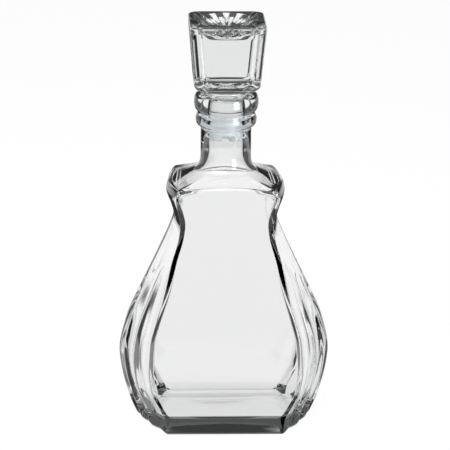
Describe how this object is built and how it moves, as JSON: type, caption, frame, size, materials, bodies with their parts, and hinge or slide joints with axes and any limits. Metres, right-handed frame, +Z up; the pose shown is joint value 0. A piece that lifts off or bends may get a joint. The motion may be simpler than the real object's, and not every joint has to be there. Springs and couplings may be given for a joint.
{
  "type": "glass decanter with stopper",
  "caption": "Clear glass decanter with flat front and back, ribbed flanks, a beaded neck and a square pressed glass stopper on a sealing sleeve.",
  "frame": {"origin": "middle of the base, on the surface that the bottle stands on", "axes": "+Z up along the neck, X across the wide front, -Y out of the front panel"},
  "size_m": [0.1428, 0.0758, 0.2803],
  "materials": {
    "bottle_glass": "clear, smooth, fire polished",
    "stopper_glass": "clear, smooth, pressed",
    "sleeve_plastic": "half clear white polyethylene"
  },
  "bodies": {
    "bottle_body": {"bottle": "bottle_glass"},
    "sleeve_body": {"stopper_sleeve": "sleeve_plastic"},
    "stopper_body": {"stopper": "stopper_glass"}
  },
  "joints": [
    {"name": "stopper_lift", "type": "slide", "parent": "bottle_body", "child": "sleeve_body", "axis": [0, 0, 1], "range_m": [0, 0.045]},
    {"name": "stopper_turn", "type": "hinge", "parent": "sleeve_body", "child": "stopper_body", "pos_m": [0, 0, 0.2316], "axis": [0, 0, 1], "continuous": true}
  ]
}
